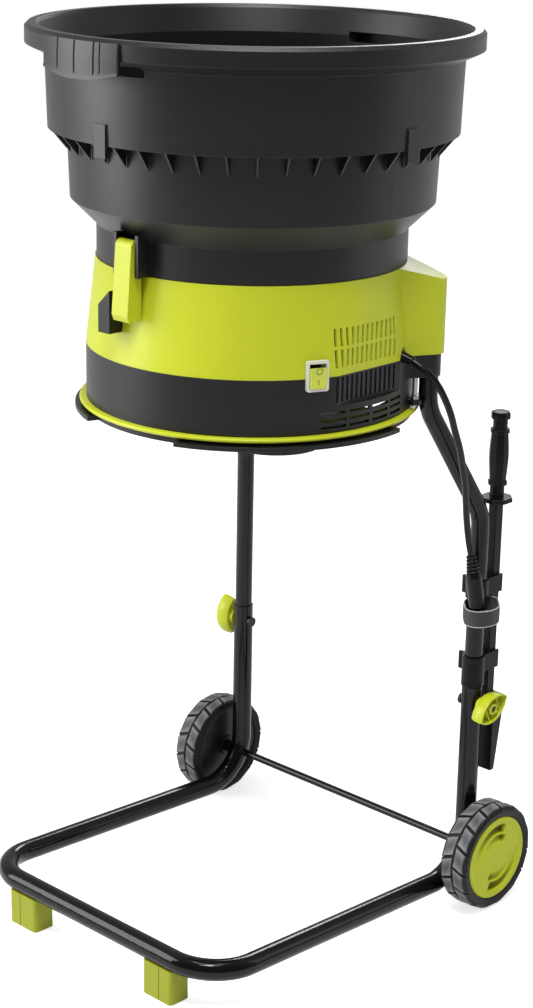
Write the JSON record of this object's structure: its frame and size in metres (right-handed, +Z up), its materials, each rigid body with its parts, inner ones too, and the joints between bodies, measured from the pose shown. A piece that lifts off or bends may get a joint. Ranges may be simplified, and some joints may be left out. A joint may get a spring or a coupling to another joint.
{
  "type": "electric leaf shredder",
  "caption": "Free-standing electric leaf shredder: open hopper over a drum with a line cutter, on a bent tube cart with wheels, feet and a clipped clearing tool.",
  "frame": {"origin": "on the floor, centred under the drum axis", "axes": "+Z up along the drum axis, -Y towards the feet, +X towards the side with switch, cord and clearing tool"},
  "size_m": [0.5079, 0.517, 1.061],
  "materials": {
    "green_plastic": "lime green moulded plastic, fine satin",
    "black_plastic": "black moulded plastic, fine grain",
    "hopper_plastic": "dark grey moulded plastic, satin",
    "tube_paint": "black gloss powder coat on steel tube",
    "zinc_steel": "zinc plated steel",
    "tyre_rubber": "black solid tyre",
    "tool_plastic": "black moulded plastic",
    "switch_plastic": "off-white plastic",
    "cord_rubber": "black flexible sheath",
    "contact_brass": "plain brass",
    "strap_fabric": "grey woven hook and loop strap",
    "lamination_steel": "stacked laminations",
    "winding_copper": "varnished copper windings",
    "line_nylon": "extruded nylon line"
  },
  "bodies": {
    "stand": {"lower_frame_tube": "tube_paint", "upper_tube_left": "tube_paint", "upper_tube_right": "tube_paint", "foot_left": "green_plastic", "foot_right": "green_plastic", "foot_screws": "zinc_steel", "axle_rod": "zinc_steel", "axle_spacers": "black_plastic", "axle_caps": "zinc_steel", "clamp_bolts": "zinc_steel", "clip_lower": "black_plastic", "clip_upper": "black_plastic", "lower_housing": "black_plastic", "mid_housing": "green_plastic", "base_ring": "green_plastic", "bag_collar": "black_plastic", "base_screws": "zinc_steel", "frame_bolts": "zinc_steel", "frame_nuts": "zinc_steel", "switch_frame": "switch_plastic", "switch_body": "black_plastic", "cord_gland": "cord_rubber", "power_cord": "cord_rubber", "plug_boot": "cord_rubber", "plug_body": "cord_rubber", "plug_blades": "contact_brass", "cord_strap": "strap_fabric", "motor_bridge": "black_plastic", "motor_cover": "black_plastic", "motor_cap": "black_plastic", "stator": "lamination_steel", "shaft_bearings": "zinc_steel", "brush_holders": "contact_brass", "funnel": "hopper_plastic", "hopper_ring": "hopper_plastic", "hopper_screws": "zinc_steel", "handle_front": "hopper_plastic", "handle_rear": "hopper_plastic", "latch_pins": "zinc_steel", "latch_catches": "black_plastic"},
    "wheel_left": {"tyre_left": "tyre_rubber", "wheel_core_left": "black_plastic", "hub_cap_left": "green_plastic"},
    "wheel_right": {"tyre_right": "tyre_rubber", "wheel_core_right": "black_plastic", "hub_cap_right": "green_plastic"},
    "rotor": {"armature": "winding_copper", "motor_shaft": "zinc_steel", "cooling_fan": "black_plastic", "line_head": "black_plastic", "cutting_lines": "line_nylon", "head_nut": "zinc_steel"},
    "latch_front_lever": {"latch_front": "green_plastic"},
    "latch_rear_lever": {"latch_rear": "green_plastic"},
    "rocker": {"switch_rocker": "green_plastic"},
    "knob_left_body": {"knob_left": "green_plastic"},
    "knob_right_body": {"knob_right": "green_plastic"},
    "clearing_tool": {"tool_grip": "tool_plastic", "tool_shaft": "tool_plastic", "tool_tip": "tool_plastic"}
  },
  "joints": [
    {"name": "wheel_left_spin", "type": "hinge", "parent": "stand", "child": "wheel_left", "pos_m": [-0.2313, 0.19048, 0.0665], "axis": [1, 0, 0], "continuous": true},
    {"name": "wheel_right_spin", "type": "hinge", "parent": "stand", "child": "wheel_right", "pos_m": [0.2313, 0.19048, 0.0665], "axis": [1, 0, 0], "continuous": true},
    {"name": "rotor_spin", "type": "hinge", "parent": "stand", "child": "rotor", "pos_m": [0, 0, 0.65], "axis": [0, 0, 1], "continuous": true},
    {"name": "latch_front_swing", "type": "hinge", "parent": "stand", "child": "latch_front_lever", "pos_m": [0, -0.191, 0.837], "axis": [-1, 0, 0], "range_deg": [0, 75]},
    {"name": "latch_rear_swing", "type": "hinge", "parent": "stand", "child": "latch_rear_lever", "pos_m": [0, 0.191, 0.837], "axis": [1, 0, 0], "range_deg": [0, 75]},
    {"name": "switch_rock", "type": "hinge", "parent": "stand", "child": "rocker", "pos_m": [0.17266, -0.07687, 0.7075], "axis": [0.4067, 0.9135, 0], "range_deg": [-16, 0]},
    {"name": "knob_left_turn", "type": "hinge", "parent": "stand", "child": "knob_left_body", "pos_m": [-0.218, 0.196, 0.255], "axis": [1, 0, 0], "continuous": true},
    {"name": "knob_right_turn", "type": "hinge", "parent": "stand", "child": "knob_right_body", "pos_m": [0.218, 0.196, 0.255], "axis": [1, 0, 0], "continuous": true},
    {"name": "tool_pull", "type": "slide", "parent": "stand", "child": "clearing_tool", "axis": [0, 1, 0], "range_m": [0, 0.08]}
  ]
}
